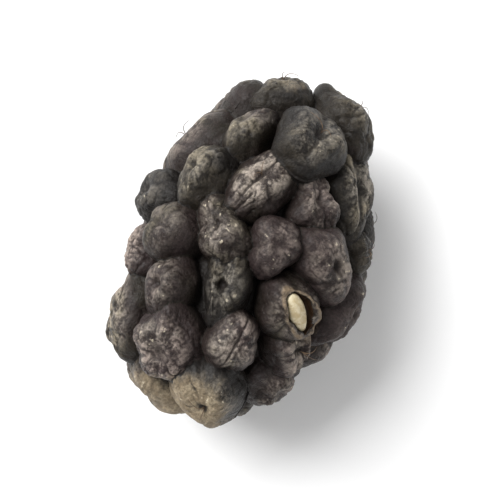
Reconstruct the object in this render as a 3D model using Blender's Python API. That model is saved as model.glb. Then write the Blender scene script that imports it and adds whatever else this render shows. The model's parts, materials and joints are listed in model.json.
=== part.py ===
# Dried black mulberry, lying on its flattened side.
# Frame: metres, +X from the stalk end to the tip, +Z up.
# The origin is on the resting surface, under the middle of the berry.

import math
import random

import bmesh
import bpy
from mathutils import Matrix, Vector
from mathutils.geometry import interpolate_bezier

MM = 0.001

# The whole fruit, measured over its drupelets
FRUIT_LENGTH = 19.0 * MM
FRUIT_WIDTH = 13.0 * MM
FRUIT_HEIGHT = 11.4 * MM
TIP_TAPER = 0.07  # how much narrower the tip is than the middle, and the stalk end wider
SIDE_BEND = 0.5 * MM  # the middle stands this far to the -Y side of the ends
REST_FLAT = 0.5 * MM  # flattened off the lowest drupelets, where the berry lay to dry

# The drupelets
DRUPELET_COUNT = 52
DRUPELET_SEED = 1169
CROWN = 1.74 * MM  # from a drupelet's middle out to its crown
ROOT = 2.5 * MM  # and in to the end of its root, well inside the core
WIDTH_SHARE = 0.66  # half a drupelet's width over its distance from its neighbours
NEIGHBOURS = 5
SIZE_SPREAD = 0.22  # drupelets are up to this share larger or smaller than their room
STAND_PROUD = 0.4 * MM  # and stand up to this far out of or into the fruit
LONGEST = 1.7  # length over width of the most drawn-out drupelet
SPIN_SPREAD = 0.6  # radians that its length turns off the fruit's own length
LEAN = 0.28  # how far the crowns lean towards the tip, and to either side

# One drupelet's form. Reaches are shares of its half width.
RIM_WAVES = ((2, 0.05), (3, 0.05), (5, 0.03))  # waves round its rim, and how high
BLUNTNESS = 0.86  # under 1, its crown is broader than a ball's
ROOT_NARROWING = 0.35
DIMPLE = 0.25 * MM  # the pit round the dried style
DIMPLE_REACH = 0.26
DEEPEST_CLEFT = 0.42 * MM  # the seam along the crown
CLEFT_REACH = 0.24
DEEPEST_SINK = 0.55 * MM  # the side that fell in as it dried
SINK_PLACE = 0.72
SINK_REACH = 0.3
SINK_TURN = 0.35
SINK_SHRINK = 0.7
RING_CROWDING = 0.25  # how much closer the mesh's rings are at the crown than at the root
DRUPELET_SIDES = 14
DRUPELET_RINGS = 9
CORE_SHARE = 0.97  # the core's size over the surface that the drupelets' middles lie on
CORE_SIDES = 18
CORE_RINGS = 12
TINY_EDGE = 0.005 * MM  # edges shorter than this are collapsed
SHARP = math.radians(50.0)  # edges sharper than this aren't shaded smooth

# How the drupelets are spread over the fruit
SPREAD_ROUNDS = 40
SPREAD_REACH = 3.187 * MM  # drupelets nearer than this push each other apart
SPREAD_JITTER = 0.22
STALK_CLEARANCE = 2.5 * MM  # and none grows nearer than this to the stalk

# The stalk, bent down and round below the blunt end
STALK_LOOKS = Vector((-0.88, 0.06, -0.47))  # direction from the middle to where it leaves
STALK_RADIUS = 0.5 * MM
STALK_IN_SOCKET = 1.6 * MM
STALK_REACH = 2.6 * MM
STALK_STRAIGHT = 0.62  # share of its reach that it keeps its first direction
STALK_TURN = Vector((0.05, 0.62, -0.52))
STALK_BENDS = (1.1 * MM, 1.6 * MM)  # reach of the bend's handles at the fruit and the end
STALK_POINTS = 9
FLARE = 1.3  # the broken end and the foot over the middle
CAP_WELD = 0.01 * MM
GAP = 0.25 * MM  # round the stalk and the seed

# The fruit's middle above the resting surface
MIDDLE = Vector((0.0, 0.0, (FRUIT_HEIGHT - REST_FLAT) / 2))

# The bare seed, in a torn drupelet
SEED_LOOKS = Vector((-0.216, -0.528, 0.822))
SEED_ALONG = Vector((-0.66, -0.75, -0.1))
SEED_LENGTH = 2.2 * MM
SEED_WIDTH = 0.95 * MM
SEED_DEPTH = 0.95 * MM
SEED_SUNK = 0.44 * MM  # its middle below the torn drupelet's crown
TORN_LONG = 1.85 * MM  # the torn drupelet's half length and half width
TORN_SHORT = 1.6 * MM
SEED_NARROWING = 0.22
SEED_SIDES = 14
SEED_RINGS = 9


# Scene and materials

def clear_scene():
    for item in list(bpy.data.objects):
        bpy.data.objects.remove(item, do_unlink=True)


def new_collection(name):
    collection = bpy.data.collections.new(name)
    bpy.context.scene.collection.children.link(collection)
    return collection


def new_material(name, colour, roughness):
    material = bpy.data.materials.new(name)
    material.use_nodes = True
    surface = material.node_tree.nodes["Principled BSDF"]
    surface.inputs["Base Color"].default_value = (*colour, 1.0)
    surface.inputs["Roughness"].default_value = roughness
    surface.inputs["Metallic"].default_value = 0.0
    return material


def new_object(name, mesh, collection):
    item = bpy.data.objects.new(name, mesh)
    collection.objects.link(item)
    return item


def hide_cutter(item):
    item.hide_render = True
    item.display_type = "WIRE"


def cut(item, cutter, name):
    modifier = item.modifiers.new(name, "BOOLEAN")
    modifier.operation = "DIFFERENCE"
    modifier.solver = "MANIFOLD"
    modifier.object = cutter


def evaluated_mesh(item):
    depsgraph = bpy.context.evaluated_depsgraph_get()
    return bpy.data.meshes.new_from_object(item.evaluated_get(depsgraph))


# Layout of the fruit

def on_fruit(direction, inset=0.0):
    """Point of the fruit's ovoid in a direction from its middle, a given depth below its outside."""
    widening = 1.0 - TIP_TAPER * direction.x
    return Vector((
        direction.x * (FRUIT_LENGTH / 2 - inset),
        direction.y * (FRUIT_WIDTH / 2 - inset) * widening,
        direction.z * (FRUIT_HEIGHT / 2 - inset) * widening,
    ))


def direction_of(point, inset=0.0):
    """The direction that on_fruit would place nearest to a point."""
    along = point.x / (FRUIT_LENGTH / 2 - inset)
    widening = 1.0 - TIP_TAPER * max(-1.0, min(1.0, along))
    return Vector((
        along,
        point.y / ((FRUIT_WIDTH / 2 - inset) * widening),
        point.z / ((FRUIT_HEIGHT / 2 - inset) * widening),
    )).normalized()


def outward_at(direction):
    """Unit normal of the ovoid."""
    return Vector((
        direction.x / FRUIT_LENGTH,
        direction.y / FRUIT_WIDTH,
        direction.z / FRUIT_HEIGHT,
    )).normalized()


def bent(point):
    """The ovoid's point moved sideways by the fruit's bend."""
    along = point.x / (FRUIT_LENGTH / 2)
    return point - Vector((0.0, SIDE_BEND * (1.0 - along * along), 0.0))


def spiral_directions(draw):
    """Golden-angle spiral from the tip to the stalk end, with each place moved a little."""
    turn = math.pi * (3.0 - math.sqrt(5.0))
    directions = []
    for index in range(DRUPELET_COUNT):
        along = 1.0 - (2.0 * index + 1.0) / DRUPELET_COUNT
        around = index * turn
        across = math.sqrt(1.0 - along * along)
        direction = Vector((along, across * math.cos(around), across * math.sin(around)))
        move = Vector((draw.uniform(-1, 1), draw.uniform(-1, 1), draw.uniform(-1, 1)))
        directions.append((direction + SPREAD_JITTER * move).normalized())
    return directions


def spread_directions(draw):
    """Pushes the spiral's places apart and clear of the stalk. The first is the torn drupelet."""
    torn = SEED_LOOKS.normalized()
    directions = sorted(spiral_directions(draw), key=lambda place: -place.dot(torn))
    directions[0] = torn
    stalk = on_fruit(STALK_LOOKS.normalized(), CROWN)
    for _ in range(SPREAD_ROUNDS):
        places = [on_fruit(direction, CROWN) for direction in directions]
        for index in range(1, len(places)):
            push = Vector()
            for other in range(len(places)):
                apart = places[index] - places[other]
                if other != index and apart.length < SPREAD_REACH:
                    push += apart.normalized() * (SPREAD_REACH - apart.length) / 2
            apart = places[index] - stalk
            if apart.length < STALK_CLEARANCE:
                push += apart.normalized() * (STALK_CLEARANCE - apart.length)
            directions[index] = direction_of(places[index] + push / 2, CROWN)
    return directions


def room_at(place, places):
    """Mean distance from a drupelet's middle to its nearest neighbours."""
    apart = sorted((place - other).length for other in places)
    return sum(apart[1:NEIGHBOURS + 1]) / NEIGHBOURS


def grow_drupelets():
    """One dictionary a drupelet: its frame on the fruit and the numbers of its form."""
    draw = random.Random(DRUPELET_SEED)
    drupelets = []
    directions = spread_directions(draw)
    places = [on_fruit(direction, CROWN) for direction in directions]
    for index, direction in enumerate(directions):
        outward = outward_at(direction)
        proud = draw.uniform(-1.0, 1.0) * STAND_PROUD
        lean = Vector((draw.uniform(0.0, 1.0), draw.uniform(-0.5, 0.5), draw.uniform(-0.5, 0.5)))
        size = 1.0 + draw.uniform(-1.0, 1.0) * SIZE_SPREAD
        half_width = WIDTH_SHARE * room_at(places[index], places) * size
        drawn_out = math.sqrt(draw.uniform(1.0, LONGEST))
        spin = draw.gauss(0.0, SPIN_SPREAD)
        drupelet = {
            "phases": [draw.uniform(0.0, 2.0 * math.pi) for _ in range(3)],
            "cleft": DEEPEST_CLEFT * draw.uniform(0.0, 1.0) ** 1.5,
            "sink": DEEPEST_SINK * max(0.0, draw.uniform(-1.0, 1.0)),
            "sink_at": draw.uniform(0.0, 2.0 * math.pi),
            "long": half_width * drawn_out,
            "short": half_width / drawn_out,
            "crown": CROWN * (1.0 + 0.4 * (size - 1.0)),
        }
        if index == 0:
            lean = Vector()
            proud = 0.0
            drupelet.update(cleft=0.0, sink=0.0, long=TORN_LONG, short=TORN_SHORT, crown=CROWN)
            length_way = SEED_ALONG
        else:
            length_way = Vector((math.cos(spin), math.sin(spin), math.sin(spin)))
        outward = (outward + LEAN * lean).normalized()
        across = outward.cross(length_way).normalized()
        drupelet["axes"] = Matrix((across.cross(outward), across, outward)).transposed()
        drupelet["centre"] = bent(on_fruit(direction, CROWN)) + outward_at(direction) * proud
        drupelets.append(drupelet)
    return drupelets


# Form of the pieces

def drupelet_point(drupelet, polar, around):
    """Point of a drupelet in its own frame, +Z out through the crown and X along the cleft."""
    side = math.sin(polar)
    up = math.cos(polar)
    rim = 1.0
    for (waves, high), phase in zip(RIM_WAVES, drupelet["phases"]):
        rim += high * math.cos(waves * around + phase)
    if up < 0.0:
        radial = side * (1.0 + ROOT_NARROWING * up) * rim
        return Vector((
            drupelet["long"] * radial * math.cos(around),
            drupelet["short"] * radial * math.sin(around),
            ROOT * up,
        ))
    turned = (1.0 - math.cos(around - drupelet["sink_at"])) / SINK_TURN
    sunken = drupelet["sink"] * math.exp(-((side - SINK_PLACE) / SINK_REACH) ** 2 - turned ** 2)
    height = drupelet["crown"] * up - sunken
    height -= DIMPLE * math.exp(-(side / DIMPLE_REACH) ** 2)
    height -= drupelet["cleft"] * up * math.exp(-(side * math.sin(around) / CLEFT_REACH) ** 2)
    radial = side ** BLUNTNESS * rim * (1.0 - SINK_SHRINK * sunken / drupelet["crown"])
    return Vector((
        drupelet["long"] * radial * math.cos(around),
        drupelet["short"] * radial * math.sin(around),
        height,
    ))


def drupelet_mesh(drupelet, name):
    """A sphere drawn to the drupelet's form, with its rings closer together at the crown."""
    shape = bmesh.new()
    bmesh.ops.create_uvsphere(
        shape, u_segments=DRUPELET_SIDES, v_segments=DRUPELET_RINGS, radius=1.0)
    for vertex in shape.verts:
        even = math.acos(max(-1.0, min(1.0, vertex.co.z)))
        polar = even * (1.0 - RING_CROWDING + RING_CROWDING * even / math.pi)
        around = math.atan2(vertex.co.y, vertex.co.x)
        vertex.co = drupelet["centre"] + drupelet["axes"] @ drupelet_point(drupelet, polar, around)
    mesh = bpy.data.meshes.new(name)
    shape.to_mesh(mesh)
    shape.free()
    return mesh


def core_mesh():
    shape = bmesh.new()
    bmesh.ops.create_uvsphere(shape, u_segments=CORE_SIDES, v_segments=CORE_RINGS, radius=1.0)
    for vertex in shape.verts:
        upright = Vector((vertex.co.z, vertex.co.x, vertex.co.y))
        vertex.co = bent(on_fruit(upright, CROWN)) * CORE_SHARE
    mesh = bpy.data.meshes.new("core")
    shape.to_mesh(mesh)
    shape.free()
    return mesh


def fit_to_size(drupelets):
    """Moves the drupelets until they measure the fruit's length, width and height."""
    size = Vector((FRUIT_LENGTH, FRUIT_WIDTH, FRUIT_HEIGHT + REST_FLAT))
    for _ in range(3):
        points = [vertex.co.copy() for drupelet in drupelets
                  for vertex in drupelet_mesh(drupelet, "measure").vertices]
        low = Vector([min(point[axis] for point in points) for axis in range(3)])
        high = Vector([max(point[axis] for point in points) for axis in range(3)])
        middle = (low + high) / 2
        for drupelet in drupelets:
            centre = drupelet["centre"] - middle
            for axis in range(3):
                reach = (high - low)[axis] / 2 - CROWN
                centre[axis] *= (size[axis] / 2 - CROWN) / reach
            drupelet["centre"] = centre
    for mesh in [mesh for mesh in bpy.data.meshes if mesh.name.startswith("measure")]:
        bpy.data.meshes.remove(mesh)


def keep_outer_skin(mesh):
    """Deletes the loose scraps and sealed hollows that a union leaves, and keeps the largest body."""
    shape = bmesh.new()
    shape.from_mesh(mesh)
    left = set(shape.verts)
    bodies = []
    while left:
        body = {left.pop()}
        edge_of_body = list(body)
        while edge_of_body:
            vertex = edge_of_body.pop()
            for edge in vertex.link_edges:
                other = edge.other_vert(vertex)
                if other in left:
                    left.discard(other)
                    body.add(other)
                    edge_of_body.append(other)
        bodies.append(body)
    largest = max(bodies, key=len)
    scraps = [vertex for body in bodies if body is not largest for vertex in body]
    bmesh.ops.delete(shape, geom=scraps, context="VERTS")
    shape.to_mesh(mesh)
    shape.free()


def build_fruit(parts, drupelets):
    """The core with every drupelet fused to it."""
    fruit = new_object("fruit", core_mesh(), parts)
    heads = new_collection("drupelets")
    for index, drupelet in enumerate(drupelets):
        name = f"drupelet_{index:02d}"
        new_object(name, drupelet_mesh(drupelet, name), heads)
    fuse = fruit.modifiers.new("fuse drupelets", "BOOLEAN")
    fuse.operation = "UNION"
    fuse.operand_type = "COLLECTION"
    fuse.collection = heads
    fuse.solver = "MANIFOLD"
    mesh = evaluated_mesh(fruit)
    fruit.modifiers.clear()
    fruit.data = mesh
    for item in list(heads.objects):
        bpy.data.objects.remove(item, do_unlink=True)
    bpy.data.collections.remove(heads)
    keep_outer_skin(mesh)
    mesh.transform(Matrix.Translation(MIDDLE))
    mesh.materials.clear()
    mesh.materials.append(new_material("dried_fruit_skin", (0.055, 0.042, 0.045), 0.55))
    return fruit


def stalk_route():
    """Points from the bottom of the socket to the broken end, on one smooth bend."""
    looks = STALK_LOOKS.normalized()
    leaves = bent(on_fruit(looks, CROWN)) + MIDDLE
    foot = leaves - looks * STALK_IN_SOCKET
    broken = leaves + (looks * STALK_STRAIGHT + STALK_TURN) * STALK_REACH
    first_handle = leaves + looks * STALK_BENDS[0]
    last_handle = broken - STALK_TURN * STALK_BENDS[1]
    return interpolate_bezier(foot, first_handle, last_handle, broken, STALK_POINTS)


def stalk_mesh(name, route, radius):
    """A tapering tube along the route, with closed ends."""
    curve = bpy.data.curves.new(name, "CURVE")
    curve.dimensions = "3D"
    curve.bevel_depth = radius
    curve.bevel_resolution = 2
    curve.use_fill_caps = True
    spline = curve.splines.new("POLY")
    spline.points.add(len(route) - 1)
    for index, (point, place) in enumerate(zip(spline.points, route)):
        along = index / (len(route) - 1)
        point.co = (*place, 1.0)
        point.radius = 1.0 + (FLARE - 1.0) * abs(2.0 * along - 1.0) ** 3
    tube = bpy.data.objects.new(name, curve)
    bpy.context.scene.collection.objects.link(tube)
    mesh = evaluated_mesh(tube)
    mesh.transform(tube.matrix_world)
    bpy.data.objects.remove(tube, do_unlink=True)
    shape = bmesh.new()
    shape.from_mesh(mesh)
    bmesh.ops.remove_doubles(shape, verts=shape.verts, dist=CAP_WELD)
    shape.to_mesh(mesh)
    shape.free()
    return mesh


def build_stalk(parts, cutters, fruit):
    route = stalk_route()
    mesh = stalk_mesh("stalk", route, STALK_RADIUS)
    mesh.shade_smooth()
    mesh.set_sharp_from_angle(angle=SHARP)
    mesh.materials.append(new_material("dried_stalk", (0.30, 0.21, 0.10), 0.75))
    new_object("stalk", mesh, parts)

    deeper = [route[0] + (route[0] - route[1]).normalized() * GAP] + list(route[1:])
    socket = new_object(
        "stalk_socket", stalk_mesh("stalk_socket", deeper, STALK_RADIUS + GAP), cutters)
    hide_cutter(socket)
    cut(fruit, socket, "stalk socket")


def seed_mesh(name, grow):
    """An egg-shaped seed with one pointed end, made larger all round by grow."""
    shape = bmesh.new()
    bmesh.ops.create_uvsphere(shape, u_segments=SEED_SIDES, v_segments=SEED_RINGS, radius=1.0)
    for vertex in shape.verts:
        along = vertex.co.z
        narrowing = 1.0 - SEED_NARROWING * along
        vertex.co = Vector((
            along * (SEED_LENGTH / 2 + grow),
            vertex.co.x * narrowing * (SEED_WIDTH / 2 + grow),
            vertex.co.y * narrowing * (SEED_DEPTH / 2 + grow),
        ))
    mesh = bpy.data.meshes.new(name)
    shape.to_mesh(mesh)
    shape.free()
    return mesh


def build_seed(parts, cutters, fruit, torn):
    placed = torn["axes"].to_4x4()
    crown = torn["centre"] + torn["axes"] @ Vector((0.0, 0.0, torn["crown"] - SEED_SUNK))
    placed.translation = crown + MIDDLE

    mesh = seed_mesh("seed", 0.0)
    mesh.shade_smooth()
    mesh.materials.append(new_material("seed_husk", (0.62, 0.50, 0.26), 0.5))
    seed = new_object("seed", mesh, parts)
    seed.matrix_world = placed

    pocket = new_object("seed_pocket", seed_mesh("seed_pocket", GAP), cutters)
    pocket.matrix_world = placed
    hide_cutter(pocket)
    cut(fruit, pocket, "seed pocket")


def flatten_underside(fruit, cutters):
    """Cuts the lowest drupelets flat where the berry rests."""
    bpy.ops.mesh.primitive_cube_add(size=2.0 * FRUIT_LENGTH, location=(0.0, 0.0, -FRUIT_LENGTH))
    surface = bpy.context.object
    surface.name = "resting_surface"
    for collection in list(surface.users_collection):
        collection.objects.unlink(surface)
    cutters.objects.link(surface)
    hide_cutter(surface)
    cut(fruit, surface, "resting flats")


def may_collapse(edge):
    """True where an edge is tiny and its ends share only the two corners of its own faces."""
    if edge.calc_length() >= TINY_EDGE:
        return False
    first, second = edge.verts
    near_first = {other.other_vert(first) for other in first.link_edges}
    near_second = {other.other_vert(second) for other in second.link_edges}
    return len(near_first & near_second) == 2


def apply_cuts(fruit):
    """Applies the Booleans and collapses the tiny edges that they leave, one at a time."""
    mesh = evaluated_mesh(fruit)
    fruit.modifiers.clear()
    fruit.data = mesh
    shape = bmesh.new()
    shape.from_mesh(mesh)
    bmesh.ops.triangulate(shape, faces=shape.faces)
    tiny = next(filter(may_collapse, shape.edges), None)
    while tiny:
        middle = (tiny.verts[0].co + tiny.verts[1].co) / 2
        bmesh.ops.pointmerge(shape, verts=list(tiny.verts), merge_co=middle)
        tiny = next(filter(may_collapse, shape.edges), None)
    shape.to_mesh(mesh)
    shape.free()
    mesh.shade_smooth()
    mesh.set_sharp_from_angle(angle=SHARP)


def main():
    clear_scene()
    parts = new_collection("dried_mulberry")
    cutters = new_collection("cutters")
    drupelets = grow_drupelets()
    fit_to_size(drupelets)
    fruit = build_fruit(parts, drupelets)
    build_stalk(parts, cutters, fruit)
    build_seed(parts, cutters, fruit, drupelets[0])
    flatten_underside(fruit, cutters)
    apply_cuts(fruit)


main()
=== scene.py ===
import json
import math
import random

import bmesh
import bpy
import numpy as np
from mathutils import Matrix, Vector, noise
from mathutils.geometry import interpolate_bezier

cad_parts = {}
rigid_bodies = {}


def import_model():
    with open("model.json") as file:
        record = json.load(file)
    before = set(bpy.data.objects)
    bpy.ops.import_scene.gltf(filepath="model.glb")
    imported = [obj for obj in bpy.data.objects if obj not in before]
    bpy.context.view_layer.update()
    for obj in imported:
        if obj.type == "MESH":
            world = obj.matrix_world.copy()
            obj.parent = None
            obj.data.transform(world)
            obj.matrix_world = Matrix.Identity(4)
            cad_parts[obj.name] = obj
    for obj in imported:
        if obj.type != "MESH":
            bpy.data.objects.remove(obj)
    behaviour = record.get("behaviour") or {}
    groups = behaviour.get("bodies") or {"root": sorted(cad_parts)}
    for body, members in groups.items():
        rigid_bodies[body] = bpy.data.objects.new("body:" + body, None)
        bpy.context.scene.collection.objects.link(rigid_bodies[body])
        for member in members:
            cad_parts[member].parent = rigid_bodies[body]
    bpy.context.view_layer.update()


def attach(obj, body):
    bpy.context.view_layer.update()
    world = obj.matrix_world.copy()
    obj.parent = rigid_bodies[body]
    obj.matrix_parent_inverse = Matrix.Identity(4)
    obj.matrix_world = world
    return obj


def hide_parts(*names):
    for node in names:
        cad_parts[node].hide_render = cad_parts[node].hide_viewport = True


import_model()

mm = 0.001  # every size below is in mm, and meshes are made in metres


# Mesh helpers

def readPoints(mesh):
    points = np.empty(len(mesh.vertices) * 3)
    mesh.vertices.foreach_get("co", points)
    return points.reshape(-1, 3)


def writePoints(mesh, points):
    mesh.vertices.foreach_set("co", np.ascontiguousarray(points, dtype=np.float32).ravel())
    mesh.update()


def vertexNormals(mesh):
    normals = np.empty(len(mesh.vertices) * 3, dtype=np.float32)
    mesh.vertex_normals.foreach_get("vector", normals)
    return normals.reshape(-1, 3)


def writeShares(mesh, shares):
    # one number a point, which the materials read by name
    for name, values in shares.items():
        layer = mesh.attributes.new(name, "FLOAT", "POINT")
        layer.data.foreach_set("value", np.ascontiguousarray(values, dtype=np.float32))


def sphereGrid(name, sides, rings):
    # a plain sphere with the angle from its pole and round its axis for every point
    shape = bmesh.new()
    if rings:
        bmesh.ops.create_uvsphere(shape, u_segments=sides, v_segments=rings, radius=1.0)
    else:
        bmesh.ops.create_icosphere(shape, subdivisions=sides, radius=1.0)
    mesh = bpy.data.meshes.new(name)
    shape.to_mesh(mesh)
    shape.free()
    points = readPoints(mesh)
    polar = np.arccos(np.clip(points[:, 2], -1.0, 1.0))
    return mesh, polar, np.arctan2(points[:, 1], points[:, 0])


def noiseAt(points, size, shift=0.0):
    places = (points / size + shift).tolist()
    return np.array([noise.noise(place) for place in places])


def fade(low, high, value):
    share = np.clip((value - low) / (high - low), 0.0, 1.0)
    return share * share * (3.0 - 2.0 * share)


def bell(value, place, reach):
    return np.exp(-((value - place) / reach) ** 2)


def wrapped(around, along, across=1.0):
    # places for noise that goes round an axis and meets itself
    return np.stack([np.cos(around) * across, np.sin(around) * across, along], axis=1)


def reshape(mesh, change):
    shape = bmesh.new()
    shape.from_mesh(mesh)
    change(shape)
    shape.to_mesh(mesh)
    shape.free()


def newPiece(name, mesh, where=None):
    piece = bpy.data.objects.new(name, mesh)
    (where or bpy.context.scene.collection).objects.link(piece)
    return piece


def applyModifier(piece, kind, **settings):
    modifier = piece.modifiers.new(kind, kind)
    for name, value in settings.items():
        setattr(modifier, name, value)
    evaluated = piece.evaluated_get(bpy.context.evaluated_depsgraph_get())
    mesh = bpy.data.meshes.new_from_object(evaluated)
    piece.modifiers.clear()
    piece.data = mesh


def tubePoints(polar, around, route, radius, plane):
    # wraps a sphere's rings round a route, with its poles at the two ends
    route = np.array(route)
    ring = np.rint(polar / math.pi * (len(route) - 1)).astype(int)
    ways = np.gradient(route, axis=0)
    ways /= np.linalg.norm(ways, axis=1)[:, None]
    right = np.cross(ways, np.array(plane))
    right /= np.linalg.norm(right, axis=1)[:, None]
    up = np.cross(right, ways)
    out = right[ring] * np.cos(around)[:, None] + up[ring] * np.sin(around)[:, None]
    return route[ring] + out * np.broadcast_to(radius, polar.shape)[:, None], ways[ring]


# Node helpers

def plug(tree, socket, value):
    if isinstance(value, bpy.types.NodeSocket):
        tree.links.new(value, socket)
    else:
        socket.default_value = value


def addNode(tree, kind, inputs=None, **settings):
    made = tree.nodes.new(kind)
    for name, value in settings.items():
        setattr(made, name, value)
    for name, value in (inputs or {}).items():
        plug(tree, made.inputs[name], value)
    return made


def mixColour(tree, factor, first, second, blend="MIX"):
    made = addNode(tree, "ShaderNodeMix", data_type="RGBA", blend_type=blend)
    for index, value in ((0, factor), (6, first), (7, second)):
        plug(tree, made.inputs[index], value)
    return made.outputs[2]


def reckon(tree, operation, first, second):
    return addNode(tree, "ShaderNodeMath", {0: first, 1: second}, operation=operation).outputs[0]


def product(tree, *values):
    result = values[0]
    for value in values[1:]:
        result = reckon(tree, "MULTIPLY", result, value)
    return result


def spread(tree, value, low, high, bottom=0.0, top=1.0, kind="SMOOTHSTEP"):
    return addNode(tree, "ShaderNodeMapRange", {
        "Value": value, "From Min": low, "From Max": high, "To Min": bottom, "To Max": top,
    }, interpolation_type=kind).outputs["Result"]


def share(tree, name):
    return addNode(tree, "ShaderNodeAttribute", attribute_name=name).outputs["Fac"]


def millimetres(tree):
    place = tree.nodes.new("ShaderNodeTexCoord").outputs["Object"]
    return addNode(tree, "ShaderNodeVectorMath", {0: place, "Scale": 1.0 / mm},
                   operation="SCALE").outputs[0]


def patchNoise(tree, perMm, detail, distortion=0.0):
    return addNode(tree, "ShaderNodeTexNoise", {
        "Vector": millimetres(tree), "Scale": perMm, "Detail": detail,
        "Roughness": effects["noiseRoughness"], "Distortion": distortion}).outputs["Fac"]


def newGroup(name, inputs, outputs):
    group = bpy.data.node_groups.new(name, "ShaderNodeTree")
    for label, kind, value in inputs:
        socket = group.interface.new_socket(name=label, in_out="INPUT", socket_type=kind)
        socket.default_value = value
    for label, kind in outputs:
        group.interface.new_socket(name=label, in_out="OUTPUT", socket_type=kind)
    return (group, group.nodes.new("NodeGroupInput").outputs,
            group.nodes.new("NodeGroupOutput").inputs)


def useGroup(tree, group, inputs):
    return addNode(tree, "ShaderNodeGroup", inputs, node_tree=group).outputs


def newMaterial(name):
    material = bpy.data.materials.new(name)
    material.use_nodes = True
    return material, material.node_tree, material.node_tree.nodes["Principled BSDF"]


def placeGrain(tree, look):
    return useGroup(tree, dryGrain, {"Per mm": look["grainPerMm"], "Cracks": look["cracks"]})


def twoTone(tree, look, first, second, shift=0.0):
    return useGroup(tree, mottle, {"First": look[first], "Second": look[second],
                                   "Per mm": look["mottlePerMm"], "Shift": shift})["Colour"]


def flecked(tree, look, raised=None):
    perMm, amount, strength = look["flecks"]
    where = amount if raised is None else product(tree, raised, amount)
    flecks = useGroup(tree, specks, {"Per mm": perMm, "Where": where})
    return product(tree, flecks["Speck"], strength)


def grainBump(tree, surface, grain, look):
    bump = addNode(tree, "ShaderNodeBump", {
        "Height": grain["Height"], "Distance": look["bumpDepth"] * mm,
        "Strength": look["bumpStrength"]})
    tree.links.new(bump.outputs["Normal"], surface.inputs["Normal"])


def finishSurface(tree, surface, look, colour):
    grain = placeGrain(tree, look)
    rough = spread(tree, grain["Grain"], *effects["grainRange"], *look["roughness"], "LINEAR")
    tree.links.new(colour, surface.inputs["Base Color"])
    tree.links.new(rough, surface.inputs["Roughness"])
    if "bumpDepth" in look:
        grainBump(tree, surface, grain, look)


# Effects that several materials share

effects = {
    "noiseRoughness": 0.62,
    "grainDetail": 5.0,
    "grainRange": (0.3, 0.7),  # the values that nearly all of the grain lies between
    "crackWander": 0.12,
    "crackCells": 0.75,  # for one cell of the grain
    "crackWidth": 0.16,
    "mottleDetail": 4.0,
    "mottleEdge": (0.36, 0.66),
    "mottleDistortion": 0.6,
    "speckFray": 2.2,  # finer than the specks
    "speckFrayDetail": 2.0,
    "speckFrayReach": 0.3,
    "speckSize": 0.42,  # the largest, as a share of a cell
    "speckEdge": (0.06, -0.1),
    "speckClumps": 0.45,  # coarser than the specks
    "clumpDetail": 3.0,
    "clumpEdge": (1.0, 1.25),
}


def makeDryGrain():
    # fine grain with leathery cracks: a value for colour, and a height for bump
    group, given, made = newGroup(
        "dryGrain",
        [("Per mm", "NodeSocketFloat", 6.0), ("Cracks", "NodeSocketFloat", 0.5)],
        [("Grain", "NodeSocketFloat"), ("Height", "NodeSocketFloat")])
    place = millimetres(group)
    grain = addNode(group, "ShaderNodeTexNoise", {
        "Vector": place, "Scale": given["Per mm"], "Detail": effects["grainDetail"],
        "Roughness": effects["noiseRoughness"]})
    wander = addNode(group, "ShaderNodeMix", {
        0: effects["crackWander"], 4: place, 5: grain.outputs["Color"]}, data_type="VECTOR")
    perMm = product(group, given["Per mm"], effects["crackCells"])
    cells = addNode(group, "ShaderNodeTexVoronoi", {
        "Vector": wander.outputs[1], "Scale": perMm}, feature="DISTANCE_TO_EDGE")
    opening = spread(group, cells.outputs["Distance"], effects["crackWidth"], 0.0)
    cracks = product(group, opening, given["Cracks"])
    group.links.new(grain.outputs["Fac"], made["Grain"])
    group.links.new(reckon(group, "SUBTRACT", grain.outputs["Fac"], cracks), made["Height"])
    return group


def makeMottle():
    # two colours in soft patches
    group, given, made = newGroup(
        "mottle",
        [("First", "NodeSocketColor", (0.1, 0.1, 0.1, 1.0)),
         ("Second", "NodeSocketColor", (0.2, 0.2, 0.2, 1.0)),
         ("Per mm", "NodeSocketFloat", 0.8), ("Shift", "NodeSocketFloat", 0.0)],
        [("Colour", "NodeSocketColor")])
    patches = patchNoise(group, given["Per mm"], effects["mottleDetail"],
                         effects["mottleDistortion"])
    patch = spread(group, reckon(group, "ADD", patches, given["Shift"]), *effects["mottleEdge"])
    group.links.new(mixColour(group, patch, given["First"], given["Second"]), made["Colour"])
    return group


def makeSpecks():
    # sparse small flecks, thicker where Where is high
    group, given, made = newGroup(
        "specks",
        [("Per mm", "NodeSocketFloat", 5.0), ("Where", "NodeSocketFloat", 0.5)],
        [("Speck", "NodeSocketFloat")])
    place = millimetres(group)
    fray = product(group, given["Per mm"], effects["speckFray"])
    frayed = addNode(group, "ShaderNodeTexNoise", {
        "Vector": place, "Scale": fray, "Detail": effects["speckFrayDetail"]})
    moved = addNode(group, "ShaderNodeVectorMath", {
        0: frayed.outputs["Color"], 1: [effects["speckFrayReach"]] * 3, 2: place},
        operation="MULTIPLY_ADD")
    cells = addNode(group, "ShaderNodeTexVoronoi", {
        "Vector": moved.outputs[0], "Scale": given["Per mm"], "Randomness": 1.0})
    clumpsPerMm = product(group, given["Per mm"], effects["speckClumps"])
    clumps = patchNoise(group, clumpsPerMm, effects["clumpDetail"])
    reach = product(group, cells.outputs["Color"], effects["speckSize"])
    near = spread(group, reckon(group, "SUBTRACT", cells.outputs["Distance"], reach),
                  *effects["speckEdge"])
    thick = spread(group, reckon(group, "ADD", clumps, given["Where"]), *effects["clumpEdge"])
    group.links.new(product(group, near, thick), made["Speck"])
    return group


dryGrain, mottle, specks = makeDryGrain(), makeMottle(), makeSpecks()


# Fruit

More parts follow.
